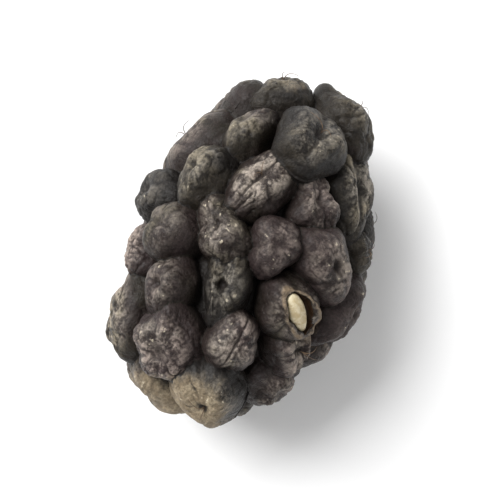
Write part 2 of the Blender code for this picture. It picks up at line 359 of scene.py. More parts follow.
berry = {
    # the whole berry, as in the solids
    "length": 19.0,
    "width": 13.0,
    "height": 11.4,
    "tipTaper": 0.07,
    "sideBend": 0.5,
    "restFlat": 0.5,  # pressed off the lowest drupelets
    "restSoftness": 0.07,
    "coreShare": 0.97,
    "coreGrid": (96, 64),
    "coreFolds": (0.9, 0.35),  # size and depth
    # where the drupelets grow, by the same draws as in the solids
    "drupelets": 52,
    "layoutSeed": 1169,
    "jitter": 0.22,
    "rounds": 40,
    "reach": 3.187,  # drupelets nearer than this push each other apart
    "stalkClearance": 2.5,
    "fitRounds": 3,
    "neighbours": 5,
    "widthShare": 0.66,
    "sizeSpread": 0.22,
    "standProud": 0.4,
    "longest": 1.7,
    "spinSpread": 0.6,
    "lean": 0.28,
    "leanAside": 0.5,
    "crownGrowth": 0.4,  # how far the crown follows the size
    # main form of a drupelet, as in the solids; reaches are shares of its half width
    "crown": 1.74,
    "root": 2.5,
    "rimWaves": ((2, 0.05), (3, 0.05), (5, 0.03)),
    "bluntness": 0.86,
    "rootNarrowing": 0.35,
    "dimple": 0.25,
    "dimpleReach": 0.26,
    "deepestCleft": 0.42,
    "rareClefts": 1.5,
    "cleftReach": 0.24,
    "deepestSink": 0.55,
    "sinkPlace": 0.72,
    "sinkReach": 0.3,
    "sinkTurn": 0.35,
    "sinkShrink": 0.7,
    "ringCrowding": 0.25,
    "solidGrid": (14, 9),
    # dried skin
    "lookSeed": 74900,
    "halvings": 6,  # of an icosahedron's edges, for one drupelet
    "triangles": 190000,  # kept of the joined skin
    "shrivel": (0.6, 1.25),  # of the least and the most wrinkled drupelet
    "skinnedAbove": (-0.3, 0.1),  # no relief on the hidden root
    "rootCrest": 0.6,
    "dents": (1.5, 0.31),  # size and depth
    "drawnCreases": ((0.8, 0.11, 0.30), (0.4, 0.04, 0.22)),  # size, depth and width
    "drawnLength": 0.5,
    "drawnFrom": (0.12, 0.5),  # shares of the half width, as for the ends below
    "netCreases": ((0.7, 0.07, 0.22), (0.33, 0.03, 0.2)),
    "netPatch": 1.3,
    "netEdge": (-0.35, 0.25),
    "creaseSharpness": 0.8,
    "grain": (0.17, 0.018),
    "keel": 0.12,  # the seed under the skin
    "keelReach": 0.16,
    "keelEnds": (0.95, 0.5),
    "seam": 0.13,  # where the tepals meet
    "seamReach": 0.05,
    "seamEnds": (0.95, 0.55),
    "crossSeamEnds": (0.7, 0.3),
    "pore": 0.18,
    "poreReach": 0.07,
    "poreRim": 0.05,
    "rimPlace": 0.2,
    "rimReach": 0.07,
    "leastRim": 0.3,
    "lip": 0.17,  # torn skin round the bare seed
    "lipPlace": 1.12,
    "lipReach": 0.21,
    "lipRagged": (0.4, 0.9),  # size and height
    "ridgeSmoothing": (12, 0.05),  # rounds, and the height that counts as a full ridge
    "swellSmoothing": (90, 0.25),
    # tan patches of riper skin: along the berry, to its side, reach and strength
    "tanPatches": ((-9.0, -0.2, 1.8, 1.15), (-8.8, 2.2, 1.3, 0.85), (-2.9, -4.6, 1.2, 0.5),
                   (8.7, 1.1, 1.6, 0.42), (6.9, 2.6, 1.2, 0.3), (3.7, -4.9, 1.2, 0.3)),
    "tanSoftness": 1.2,
    "tanAbove": (-3.0, -0.5),  # from the middle of the berry
    "ripeSpread": (0.6, 1.2),
    # colours
    "skinTones": ((0.12, (0.0125, 0.0106, 0.0094)), (0.42, (0.0200, 0.0161, 0.0117)),
                  (0.66, (0.0235, 0.0171, 0.0150)), (0.95, (0.0295, 0.0208, 0.0198))),
    # bloom colours: pale dust, which also serves as a painted highlight on the crests
    "bloomAndHighlightTones": ((0.12, (0.2470, 0.2210, 0.1860)), (0.42, (0.2780, 0.2390, 0.1760)),
                   (0.66, (0.3090, 0.2650, 0.2230)), (0.95, (0.3370, 0.2750, 0.2380))),
    "tan": (0.185, 0.142, 0.091, 1.0),
    "straw": (0.320, 0.260, 0.175, 1.0),
    # pale flecks: partly worn spots, partly painted glints
    "creamFleckAndGlint": (0.640, 0.560, 0.420, 1.0),
    "tornEdge": (0.190, 0.140, 0.090, 1.0),
    # painted shade for the crevices, the bare core and the pits in the crowns
    "grooveShade": (0.0210, 0.0170, 0.0150, 1.0),
    "flesh": (0.060, 0.034, 0.020, 1.0),
    # where the colours lie: each pair is the least and the full value of a mask
    "toneDrift": (0.5, 3.0, 1.2),  # patches a mm, detail and strength
    "dustPatches": (1.3, 5.0, 0.4),  # patches a mm, detail and distortion
    "dustGrain": (3.4, 6.0, 0.5),
    "dustGrainShare": 0.6,
    # the bloom and its painted highlight lie on the crowns and ridges of the drupelets
    "bloomAndHighlightCrest": (0.4, 1.0),
    "bloomAndHighlightRidge": (0.36, 0.62, 0.25, 1.0),
    "bloomAndHighlightDust": (0.66, 0.94),
    "bloomAndHighlightAmount": (0.15, 1.2),  # of the least and the most dusty drupelet
    "mottlePerMm": 1.6,
    "mottleShift": -0.02,
    "tanBreaks": 0.9,
    "tanEdge": (0.75, 1.2),
    "tanSwell": (0.3, 0.5),
    "tanStrength": 0.9,
    # where the worn flecks and painted glints lie
    "fleckAndGlintRidge": (0.45, 0.65),
    "fleckAndGlintCrest": (0.35, 0.9),
    "flecks": (3.0, 0.68, 0.55),  # a mm, how many, and strength
    "tornRim": (0.35, 0.95),
    "tornDust": (0.6, 0.95),
    "shades": (0.65, 1.25),
    # where the painted shade lies: low swell, low ridge and low crest
    "grooveShadeSwell": (0.42, 0.15),
    "grooveShadeRidge": (0.42, 0.1),
    "grooveShadeCrest": (0.15, -0.15),
    "grooveShadeStrength": 0.65,
    "poreEdge": (0.2, 0.7),
    # finish
    "grainPerMm": 7.0,
    "cracks": 0.3,
    "roughness": (0.34, 0.58),  # bare skin, and skin under the bloom and painted highlight
    "grainRoughness": 0.16,
    "specular": 0.16,
    "coat": 0.04,
    "coatRoughness": 0.3,
    "bumpDepth": 0.05,
    "bumpStrength": 0.9,
}
middle = Vector((0.0, 0.0, (berry["height"] - berry["restFlat"]) / 2))
halfSizes = [berry[size] / 2 for size in ("length", "width", "height")]


def onBerry(direction):
    # where a drupelet is centred, its crown's height inside the outline
    far, wide, high = (half - berry["crown"] for half in halfSizes)
    widening = 1.0 - berry["tipTaper"] * direction.x
    return Vector((direction.x * far, direction.y * wide * widening, direction.z * high * widening))


def directionOf(point):
    far, wide, high = (half - berry["crown"] for half in halfSizes)
    along = point.x / far
    widening = 1.0 - berry["tipTaper"] * max(-1.0, min(1.0, along))
    return Vector((along, point.y / (wide * widening), point.z / (high * widening))).normalized()


def outwardAt(direction):
    return Vector([part / half for part, half in zip(direction, halfSizes)]).normalized()


def bent(point):
    along = point.x / (berry["length"] / 2)
    return point - Vector((0.0, berry["sideBend"] * (1.0 - along * along), 0.0))


def spiralDirections(draw):
    turn = math.pi * (3.0 - math.sqrt(5.0))
    directions = []
    for index in range(berry["drupelets"]):
        along = 1.0 - (2.0 * index + 1.0) / berry["drupelets"]
        across = math.sqrt(1.0 - along * along)
        around = index * turn
        direction = Vector((along, across * math.cos(around), across * math.sin(around)))
        move = Vector([draw.uniform(-1, 1) for _ in range(3)])
        directions.append((direction + berry["jitter"] * move).normalized())
    return directions


def spreadDirections(draw):
    torn = bareSeed["looks"].normalized()
    directions = sorted(spiralDirections(draw), key=lambda place: -place.dot(torn))
    directions[0] = torn  # the drupelet that shows its seed
    stalk = onBerry(stalkStub["looks"].normalized())
    for _ in range(berry["rounds"]):
        places = [onBerry(direction) for direction in directions]
        for index in range(1, len(places)):
            push = Vector()
            for other in range(len(places)):
                apart = places[index] - places[other]
                if other != index and apart.length < berry["reach"]:
                    push += apart.normalized() * (berry["reach"] - apart.length) / 2
            apart = places[index] - stalk
            if apart.length < berry["stalkClearance"]:
                push += apart.normalized() * (berry["stalkClearance"] - apart.length)
            directions[index] = directionOf(places[index] + push / 2)
    return directions


def roomAt(place, places):
    apart = sorted((place - other).length for other in places)
    return sum(apart[1:berry["neighbours"] + 1]) / berry["neighbours"]


def growDrupelets():
    draw = random.Random(berry["layoutSeed"])
    drupelets = []
    directions = spreadDirections(draw)
    places = [onBerry(direction) for direction in directions]
    for index, direction in enumerate(directions):
        outward = outwardAt(direction)
        proud = draw.uniform(-1.0, 1.0) * berry["standProud"]
        aside = berry["leanAside"]
        lean = Vector((draw.uniform(0.0, 1.0), draw.uniform(-aside, aside), draw.uniform(-aside, aside)))
        size = 1.0 + draw.uniform(-1.0, 1.0) * berry["sizeSpread"]
        halfWidth = berry["widthShare"] * roomAt(places[index], places) * size
        drawnOut = math.sqrt(draw.uniform(1.0, berry["longest"]))
        spin = draw.gauss(0.0, berry["spinSpread"])
        drupelet = {
            "phases": [draw.uniform(0.0, 2.0 * math.pi) for _ in range(3)],
            "cleft": berry["deepestCleft"] * draw.uniform(0.0, 1.0) ** berry["rareClefts"],
            "sink": berry["deepestSink"] * max(0.0, draw.uniform(-1.0, 1.0)),
            "sinkAt": draw.uniform(0.0, 2.0 * math.pi),
            "long": halfWidth * drawnOut,
            "short": halfWidth / drawnOut,
            "crown": berry["crown"] * (1.0 + berry["crownGrowth"] * (size - 1.0)),
        }
        if index == 0:
            lean = Vector()
            proud = 0.0
            drupelet.update(cleft=0.0, sink=0.0, crown=berry["crown"],
                            long=bareSeed["tornLong"], short=bareSeed["tornShort"])
            lengthWay = bareSeed["along"]
        else:
            lengthWay = Vector((math.cos(spin), math.sin(spin), math.sin(spin)))
        outward = (outward + berry["lean"] * lean).normalized()
        across = outward.cross(lengthWay).normalized()
        drupelet["axes"] = Matrix((across.cross(outward), across, outward)).transposed()
        drupelet["centre"] = bent(onBerry(direction)) + outwardAt(direction) * proud
        drupelets.append(drupelet)
    return drupelets


def crowded(polar):
    return polar * (1.0 - berry["ringCrowding"] + berry["ringCrowding"] * polar / math.pi)


def drupeletPoints(drupelet, polar, around):
    side, up = np.sin(polar), np.cos(polar)
    rim = 1.0
    for (waves, high), phase in zip(berry["rimWaves"], drupelet["phases"]):
        rim = rim + high * np.cos(waves * around + phase)
    turned = (1.0 - np.cos(around - drupelet["sinkAt"])) / berry["sinkTurn"]
    sunken = drupelet["sink"] * bell(side, berry["sinkPlace"], berry["sinkReach"]) * np.exp(-turned ** 2)
    height = drupelet["crown"] * up - sunken - berry["dimple"] * bell(side, 0.0, berry["dimpleReach"])
    height = height - drupelet["cleft"] * up * bell(side * np.sin(around), 0.0, berry["cleftReach"])
    outer = side ** berry["bluntness"] * rim * (1.0 - berry["sinkShrink"] * sunken / drupelet["crown"])
    inner = side * (1.0 + berry["rootNarrowing"] * up) * rim
    radial = np.where(up < 0.0, inner, outer)
    local = np.stack([
        drupelet["long"] * radial * np.cos(around),
        drupelet["short"] * radial * np.sin(around),
        np.where(up < 0.0, berry["root"] * up, height),
    ], axis=1)
    return local @ np.array(drupelet["axes"]).T + np.array(drupelet["centre"])


def fitToSize(drupelets):
    mesh, polar, around = sphereGrid("measure", *berry["solidGrid"])
    size = np.array([berry["length"], berry["width"], berry["height"] + berry["restFlat"]])
    for _ in range(berry["fitRounds"]):
        points = np.concatenate([
            drupeletPoints(drupelet, crowded(polar), around) for drupelet in drupelets])
        low, high = points.min(0), points.max(0)
        scale = (size / 2 - berry["crown"]) / ((high - low) / 2 - berry["crown"])
        for drupelet in drupelets:
            centre = np.array(drupelet["centre"]) - (low + high) / 2
            drupelet["centre"] = Vector(centre * scale)
    bpy.data.meshes.remove(mesh)


def dressDrupelets(drupelets):
    # what only the finished skin needs, drawn apart so that the layout's draws stay as they are;
    # the powers make the strong ones rare
    draw = random.Random(berry["lookSeed"])
    for drupelet in drupelets:
        drupelet["shrivel"] = draw.uniform(*berry["shrivel"])
        drupelet["tone"] = draw.random()
        drupelet["dusty"] = draw.random()
        drupelet["ripe"] = draw.uniform(*berry["ripeSpread"])
        drupelet["keel"] = berry["keel"] * draw.random() ** 2
        drupelet["pore"] = draw.random() ** 3
        drupelet["seam"] = draw.random() ** 2
        drupelet["crossSeam"] = draw.random() ** 3


def creased(places, scales, shift):
    # taut skin between narrow valleys, which follow the places where the noise changes sign
    depth = 0.0
    for size, deep, wide in scales:
        apart = np.minimum(np.abs(noiseAt(places, size, shift + size)) / wide, 1.0)
        depth = depth + deep * (1.0 - apart ** berry["creaseSharpness"])
    return depth


def tanAt(points):
    ripe = np.zeros(len(points))
    for along, aside, reach, strength in berry["tanPatches"]:
        apart = np.hypot(points[:, 0] - along, points[:, 1] - aside)
        ripe = np.maximum(ripe, strength * bell(apart, 0.0, reach * berry["tanSoftness"]))
    return ripe * fade(*berry["tanAbove"], points[:, 2])


def tornRing(drupelet, polar, around):
    # 1 on the outline of the hollow round the bare seed, less inside it
    x = drupelet["long"] * np.sin(polar) * np.cos(around)
    y = drupelet["short"] * np.sin(polar) * np.sin(around)
    wide, far = hollowWidth(x, y)
    return np.hypot(x / (bareSeed["length"] / 2 * far), y / (bareSeed["width"] / 2 * wide))


def drupeletRelief(drupelet, index, points, polar, around):
    side, up = np.sin(polar), np.cos(polar)
    outer = fade(*berry["skinnedAbove"], up)
    shift = 7.3 * index  # so that no two drupelets have the same wrinkles
    meridians = wrapped(around, berry["drawnLength"] * polar)
    lively = fade(*berry["netEdge"], noiseAt(points, berry["netPatch"], shift + 3.0))
    wrinkled = -creased(meridians, berry["drawnCreases"], shift) * fade(*berry["drawnFrom"], side)
    wrinkled = wrinkled - creased(points, berry["netCreases"], shift) * lively
    wrinkled = (wrinkled + berry["dents"][1] * noiseAt(points, berry["dents"][0], shift)
                + berry["grain"][1] * noiseAt(points, berry["grain"][0], shift))
    wrinkled = wrinkled * drupelet["shrivel"] * outer

    x, y = side * np.cos(around), side * np.sin(around)
    seams = (drupelet["seam"] * bell(y, 0.0, berry["seamReach"]) * fade(*berry["seamEnds"], side)
             + drupelet["crossSeam"] * bell(x, 0.0, berry["seamReach"])
             * fade(*berry["crossSeamEnds"], side))
    seams = berry["seam"] * np.minimum(seams, 1.0) * outer
    keel = drupelet["keel"] * bell(y, 0.0, berry["keelReach"]) * fade(*berry["keelEnds"], side) * outer
    pit = bell(side, 0.0, berry["poreReach"]) * (up > 0.0) * drupelet["pore"]
    rim = bell(side, berry["rimPlace"], berry["rimReach"]) * (up > 0.0)
    rim = rim * (berry["leastRim"] + drupelet["pore"])
    height = wrinkled + keel - seams - berry["pore"] * pit + berry["poreRim"] * rim
    edge = np.zeros(len(polar))
    if index == 0:
        size, high = berry["lipRagged"]
        ragged = 1.0 + high * noiseAt(points, size, shift=3.0)
        ring = tornRing(drupelet, polar, around)
        edge = bell(ring, berry["lipPlace"], berry["lipReach"]) * (up > 0.0)
        height = wrinkled + berry["lip"] * edge * ragged
        pit = pit * 0.0
    shares = {
        "tone": np.full(len(polar), drupelet["tone"]),
        "dusty": np.full(len(polar), drupelet["dusty"]),
        "ripe": tanAt(points) * drupelet["ripe"],
        "crest": np.where(up > 0.0, up, up * berry["rootCrest"]),
        "pore": pit,
        "torn": np.zeros(len(polar)),
        "edge": edge,
    }
    return height, shares


def plainShares(mesh, torn):
    count = len(mesh.vertices)
    # a crest of -0.5 gives these surfaces the crevices' painted shade, which torn flesh covers
    plain = {"tone": 0.3, "dusty": 0.0, "ripe": 0.0, "crest": -0.5,
             "pore": 0.0, "torn": torn, "edge": 0.0}
    writeShares(mesh, {name: np.full(count, value) for name, value in plain.items()})


def drupeletSkin(drupelet, index, grid):
    template, even, around = grid
    polar = crowded(even)
    mesh = template.copy()
    mesh.name = f"drupelet_{index:02d}"
    points = drupeletPoints(drupelet, polar, around)
    writePoints(mesh, points)
    height, shares = drupeletRelief(drupelet, index, points, polar, around)
    points = points + vertexNormals(mesh) * height[:, None]
    writePoints(mesh, (points + np.array(middle)) * mm)
    writeShares(mesh, shares)
    return mesh


def coreSkin():
    mesh, polar, around = sphereGrid("core", *berry["coreGrid"])
    places = [Vector((math.cos(p), math.sin(p) * math.cos(a), math.sin(p) * math.sin(a)))
              for p, a in zip(polar.tolist(), around.tolist())]
    points = np.array([bent(onBerry(place)) for place in places])
    size, depth = berry["coreFolds"]
    folded = berry["coreShare"] - depth * np.abs(noiseAt(points, size)) / berry["crown"] / 2
    writePoints(mesh, (points * folded[:, None] + np.array(middle)) * mm)
    plainShares(mesh, 0.0)
    return mesh


def keepOuterSkin(shape):
    # a union leaves small sealed hollows, which are dropped
    shape.verts.ensure_lookup_table()
    seen = np.zeros(len(shape.verts), dtype=bool)
    bodies = []
    for start in shape.verts:
        if seen[start.index]:
            continue
        seen[start.index] = True
        body, ahead = [start], [start]
        while ahead:
            for edge in ahead.pop().link_edges:
                for vertex in edge.verts:
                    if not seen[vertex.index]:
                        seen[vertex.index] = True
                        body.append(vertex)
                        ahead.append(vertex)
        bodies.append(body)
    bodies.sort(key=len)
    scraps = [vertex for body in bodies[:-1] for vertex in body]
    bmesh.ops.delete(shape, geom=scraps, context="VERTS")


def dropFlaps(shape):
    # thinning leaves a few single triangles that stand on an edge of the skin
    flaps = [face for face in shape.faces
             if any(len(edge.link_faces) == 1 for edge in face.edges)]
    bmesh.ops.delete(shape, geom=flaps, context="FACES")


def writeCurves(piece, name, rounds, depth):
    # how far the skin stands out of its own smoothed form (over 0.5) or into it (under 0.5)
    own = piece.data
    applyModifier(piece, "SMOOTH", factor=0.5, iterations=rounds)
    smooth = piece.data
    piece.data = own
    out = ((readPoints(own) - readPoints(smooth)) * vertexNormals(own)).sum(axis=1) / mm
    writeShares(own, {name: np.clip(0.5 + 0.5 * out / depth, 0.0, 1.0)})
    bpy.data.meshes.remove(smooth)


def pressUnderside(mesh):
    # the lowest drupelets are pressed flat on the surface, with soft edges
    points = readPoints(mesh) / mm
    soft = berry["restSoftness"]
    points[:, 2] = soft * np.logaddexp(0.0, points[:, 2] / soft)
    writePoints(mesh, points * mm)


def toneRamp(tree, value, stops):
    made = addNode(tree, "ShaderNodeValToRGB", {"Fac": value})
    made.color_ramp.interpolation = "EASE"
    for index, (place, colour) in enumerate(stops):
        stop = made.color_ramp.elements[index] if index < 2 else made.color_ramp.elements.new(place)
        stop.position = place
        stop.color = (*colour, 1.0)
    return made.outputs["Color"]


def skinMaterial():
    material, tree, surface = newMaterial("driedSkin")
    crest, ridge, swell = share(tree, "crest"), share(tree, "ridge"), share(tree, "swell")
    grain = placeGrain(tree, berry)
    patches = patchNoise(tree, *berry["dustPatches"])
    perMm, detail, strength = berry["toneDrift"]
    drift = reckon(tree, "SUBTRACT", patchNoise(tree, perMm, detail), 0.5)
    tone = reckon(tree, "ADD", share(tree, "tone"), product(tree, drift, strength))

    # pale dust bloom on the crests and ridges, in patches, which also paints a highlight on each drupelet's
    # crown
    fine = product(tree, patchNoise(tree, *berry["dustGrain"]), berry["dustGrainShare"])
    dust = reckon(tree, "ADD", patches, fine)
    dusty = spread(tree, share(tree, "dusty"), 0.0, 1.0, *berry["bloomAndHighlightAmount"], "LINEAR")
    bloomAndHighlight = product(tree, spread(tree, crest, *berry["bloomAndHighlightCrest"]),
                    spread(tree, ridge, *berry["bloomAndHighlightRidge"]),
                    spread(tree, dust, *berry["bloomAndHighlightDust"]), dusty)
    colour = mixColour(tree, bloomAndHighlight, toneRamp(tree, tone, berry["skinTones"]),
                       toneRamp(tree, tone, berry["bloomAndHighlightTones"]))

    # tan skin where the berry ripened less, broken up at its edges
    tan = twoTone(tree, berry, "tan", "straw", berry["mottleShift"])
    tanned = reckon(tree, "ADD", share(tree, "ripe"), product(tree, patches, berry["tanBreaks"]))
    tanned = product(tree, spread(tree, tanned, *berry["tanEdge"]), spread(tree, swell, *berry["tanSwell"]))
    colour = mixColour(tree, product(tree, tanned, berry["tanStrength"]), colour, tan)

    # pale flecks on the raised skin: partly worn spots, partly painted glints
    raised = product(tree, spread(tree, ridge, *berry["fleckAndGlintRidge"]),
                     spread(tree, crest, *berry["fleckAndGlintCrest"]))
    colour = mixColour(tree, flecked(tree, berry, raised), colour, berry["creamFleckAndGlint"])
    torn = product(tree, spread(tree, share(tree, "edge"), *berry["tornRim"]),
                   spread(tree, dust, *berry["tornDust"]))
    colour = mixColour(tree, torn, colour, berry["tornEdge"])

    darker, lighter = berry["shades"]
    shade = mixColour(tree, spread(tree, grain["Grain"], *effects["grainRange"]),
                      (darker, darker, darker, 1.0), (lighter, lighter, lighter, 1.0))
    colour = mixColour(tree, 1.0, colour, shade, "MULTIPLY")
    # painted shade: darker in the crevices between drupelets, on their low sides and over the bare core
    deep = reckon(tree, "MAXIMUM", spread(tree, swell, *berry["grooveShadeSwell"]),
                  spread(tree, ridge, *berry["grooveShadeRidge"]))
    deep = reckon(tree, "MAXIMUM", deep, spread(tree, crest, *berry["grooveShadeCrest"]))
    colour = mixColour(tree, product(tree, deep, berry["grooveShadeStrength"]),
                       colour, berry["grooveShade"])
    colour = mixColour(tree, share(tree, "torn"), colour, berry["flesh"])
    # the pits in the crowns get the same painted shade
    colour = mixColour(tree, spread(tree, share(tree, "pore"), *berry["poreEdge"]),
                       colour, berry["grooveShade"])
    tree.links.new(colour, surface.inputs["Base Color"])

    dull = reckon(tree, "MAXIMUM", bloomAndHighlight, tanned)
    rough = reckon(tree, "ADD", spread(tree, dull, 0.0, 1.0, *berry["roughness"], "LINEAR"),
                   spread(tree, grain["Grain"], *effects["grainRange"],
                          0.0, berry["grainRoughness"], "LINEAR"))
    tree.links.new(rough, surface.inputs["Roughness"])
    surface.inputs["Specular IOR Level"].default_value = berry["specular"]
    surface.inputs["Coat Weight"].default_value = berry["coat"]
    surface.inputs["Coat Roughness"].default_value = berry["coatRoughness"]
    grainBump(tree, surface, grain, berry)
    return material


def cutHollows(fruit, torn):
    pocketMesh = pocketEgg()
    plainShares(pocketMesh, 1.0)
    pocket = newPiece("pocket", pocketMesh)
    pocket.matrix_world = seedPlace(torn)
    socketMesh = stalkTube("socket", *stalkStub["socketGrid"], stalkStub["socketGap"], False)[0]
    plainShares(socketMesh, 1.0)
    socket = newPiece("socket", socketMesh)
    bpy.context.view_layer.update()
    for cutter in (pocket, socket):
        applyModifier(fruit, "BOOLEAN", operation="DIFFERENCE", solver="MANIFOLD", object=cutter)
        bpy.data.objects.remove(cutter, do_unlink=True)


def buildFruit(drupelets):
    heads = bpy.data.collections.new("heads")
    bpy.context.scene.collection.children.link(heads)
    grid = sphereGrid("headGrid", berry["halvings"], 0)
    for index, drupelet in enumerate(drupelets):
        newPiece(f"head_{index:02d}", drupeletSkin(drupelet, index, grid), heads)
    fruit = newPiece("fruitSkin", coreSkin())
    applyModifier(fruit, "BOOLEAN", operation="UNION", solver="MANIFOLD",
                  operand_type="COLLECTION", collection=heads)
    for head in list(heads.objects):
        bpy.data.objects.remove(head, do_unlink=True)
    bpy.data.collections.remove(heads)
    reshape(fruit.data, keepOuterSkin)
    cutHollows(fruit, drupelets[0])
    print("fruit joined and cut:", len(fruit.data.polygons), "faces")
    writeCurves(fruit, "ridge", *berry["ridgeSmoothing"])
    writeCurves(fruit, "swell", *berry["swellSmoothing"])
    fruit.data.calc_loop_triangles()
    applyModifier(fruit, "DECIMATE", use_collapse_triangulate=True,
                  ratio=berry["triangles"] / len(fruit.data.loop_triangles))
    reshape(fruit.data, dropFlaps)
    pressUnderside(fruit.data)
    fruit.data.shade_smooth()
    fruit.data.materials.clear()
    fruit.data.materials.append(skinMaterial())
    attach(fruit, "root")
    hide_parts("fruit")


# Stalk

stalkStub = {
    # route and size, as in the solids
    "looks": Vector((-0.88, 0.06, -0.47)),
    "radius": 0.5,
    "inSocket": 1.6,
    "reach": 2.6,
    "straight": 0.62,
    "turn": Vector((0.05, 0.62, -0.52)),
    "bends": (1.1, 1.6),
    "flare": 0.3,
    # bark
    "grid": (48, 110),
    "socketGrid": (32, 40),
    "socketGap": 0.08,
    "capRings": 3.0,
    "barkStretch": (2.6, 2.2),  # round the stalk and along it
    "barkFolds": 0.7,
    "ribs": 9,
    "ribWander": (1.6, 3.0),  # size and strength
    "foldHeight": 0.112,
    "ribHeight": 0.0245,
    "brokenFrom": 0.93,
    "raggedEnd": (0.35, 0.22),  # size and height
    "pithDepth": 0.3,
    # colours
    "bark": (0.230, 0.150, 0.068, 1.0),
    "pale": (0.440, 0.330, 0.170, 1.0),
    "darkTone": (0.045, 0.027, 0.016, 1.0),
    "darkerNearSocket": (0.35, 0.1, 0.7),  # darker inside and near the socket: where it starts, where it is full, and its strength
    "endStain": (0.97, 1.0),
    # finish
    "mottlePerMm": 1.8,
    "flecks": (5.0, 0.45, 0.6),
    "grainPerMm": 9.0,
    "cracks": 0.2,
    "roughness": (0.6, 0.85),
    "bumpDepth": 0.04,
    "bumpStrength": 0.8,
}


def stalkRoute(steps):
    looks = stalkStub["looks"].normalized()
    leaves = bent(onBerry(looks)) + middle
    foot = leaves - looks * stalkStub["inSocket"]
    broken = leaves + (looks * stalkStub["straight"] + stalkStub["turn"]) * stalkStub["reach"]
    firstBend = leaves + looks * stalkStub["bends"][0]
    lastBend = broken - stalkStub["turn"] * stalkStub["bends"][1]
    return interpolate_bezier(foot, firstBend, lastBend, broken, steps)


def stalkTube(name, sides, rings, grow, fibres):
    mesh, polar, around = sphereGrid(name, sides, rings)
    along = np.rint(polar / math.pi * rings) / rings
    radius = stalkStub["radius"] * (1.0 + stalkStub["flare"] * np.abs(2.0 * along - 1.0) ** 3) + grow
    toEnd = np.minimum(np.minimum(along, 1.0 - along) * rings / stalkStub["capRings"], 1.0)
    full = np.sqrt(1.0 - (1.0 - toEnd) ** 2)
    if fibres:
        across, down = stalkStub["barkStretch"]
        bark = wrapped(around, along * down, across)
        size, strength = stalkStub["ribWander"]
        wave = np.cos(stalkStub["ribs"] * around + strength * noiseAt(bark, size, shift=4.0))
        folds = np.abs(noiseAt(bark, stalkStub["barkFolds"]))
        radius = radius + stalkStub["foldHeight"] * folds + stalkStub["ribHeight"] * (wave - 1.0)
    plane = stalkStub["looks"].cross(stalkStub["turn"]).normalized()
    points, ways = tubePoints(polar, around, stalkRoute(rings + 1), radius * full, plane)
    if fibres:
        size, high = stalkStub["raggedEnd"]
        rim = noiseAt(wrapped(around, along * 0.0), size, shift=9.0)
        length = high * rim * full - stalkStub["pithDepth"] * (1.0 - full)
        points = points + ways * (fade(stalkStub["brokenFrom"], 1.0, along) * length)[:, None]
    writePoints(mesh, points * mm)
    return mesh, along, full


def stalkMaterial():
    material, tree, surface = newMaterial("driedStalk")
    bark = twoTone(tree, stalkStub, "bark", "pale")
    colour = mixColour(tree, share(tree, "darkened"), bark, stalkStub["darkTone"])
    colour = mixColour(tree, flecked(tree, stalkStub), colour, stalkStub["darkTone"])
    finishSurface(tree, surface, stalkStub, colour)
    return material


def buildStalk():
    mesh, along, roundness = stalkTube("stalkStub", *stalkStub["grid"], 0.0, True)
    starts, full, strength = stalkStub["darkerNearSocket"]
    # the stalk is darker inside and near the socket
    inSocket = fade(starts, full, along) * strength
    atEnd = fade(*stalkStub["endStain"], along) * (1.0 - roundness)
    writeShares(mesh, {"darkened": np.maximum(atEnd, inSocket)})
    mesh.shade_smooth()
    mesh.materials.append(stalkMaterial())
    stalk = newPiece("stalkStub", mesh)
    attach(stalk, "root")
    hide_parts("stalk")


# Bare seed and the hollow that it lies in

bareSeed = {
    # place and size, as in the solids
    "looks": Vector((-0.216, -0.528, 0.822)),
    "along": Vector((-0.66, -0.75, -0.1)),
    "length": 2.2,
    "width": 0.95,
    "depth": 0.95,
    "sunk": 0.44,
    "narrowing": 0.22,
    "tornLong": 1.85,
    "tornShort": 1.6,
    # husk
    "grid": (48, 36),
    "keel": 0.05,
    "keelReach": 0.12,
    "pitting": (0.12, 0.018),  # size and depth
    # hollow
    "gap": 0.07,
    "ragged": (0.3, 0.12),
    "hollowSide": 0.95,  # how much wider the hollow is on its open side
    "leastSide": 0.65,  # of that, at the middle of the seed
    "sideOpens": 0.25,
    "hollowEnd": 0.12,
    "endOpens": 0.5,
    # colours
    "husk": (0.395, 0.310, 0.170, 1.0),
    "light": (0.560, 0.490, 0.335, 1.0),
    "darkTone": (0.200, 0.120, 0.055, 1.0),
    # the husk is darker towards the bottom of the seed
    "darkerBelow": (0.1, -0.35),
    "darkerBelowStrength": 0.8,
    # finish
    "mottlePerMm": 2.6,
    "flecks": (3.6, 0.66, 0.6),
    "grainPerMm": 12.0,
    "cracks": 0.3,
    "roughness": (0.4, 0.6),
    "bumpDepth": 0.015,
    "bumpStrength": 0.7,
}


def seedPlace(torn):
    placed = torn["axes"].to_4x4()
    lift = Vector((0.0, 0.0, torn["crown"] - bareSeed["sunk"]))
    placed.translation = (torn["centre"] + torn["axes"] @ lift + middle) * mm
    return placed


def hollowWidth(x, y):
    # the hollow is wider to one side of the seed and a little longer past one end
    least = bareSeed["leastSide"]
    lengthwise = least + (1.0 - least) * np.clip(x / (bareSeed["length"] / 2), -1.0, 1.0)
    wide = 1.0 + bareSeed["hollowSide"] * (fade(0.0, bareSeed["sideOpens"], y) * lengthwise)
    return wide, 1.0 + bareSeed["hollowEnd"] * fade(0.0, bareSeed["endOpens"], x)


def eggPoints(polar, around, grow):
    along, side = np.cos(polar), np.sin(polar)
    narrowing = 1.0 - bareSeed["narrowing"] * along
    return np.stack([
        along * (bareSeed["length"] / 2 + grow),
        side * np.cos(around) * narrowing * (bareSeed["width"] / 2 + grow),
        side * np.sin(around) * narrowing * (bareSeed["depth"] / 2 + grow),
    ], axis=1)


def pushedOut(points, out):
    return points * (1.0 + out / np.linalg.norm(points, axis=1))[:, None]


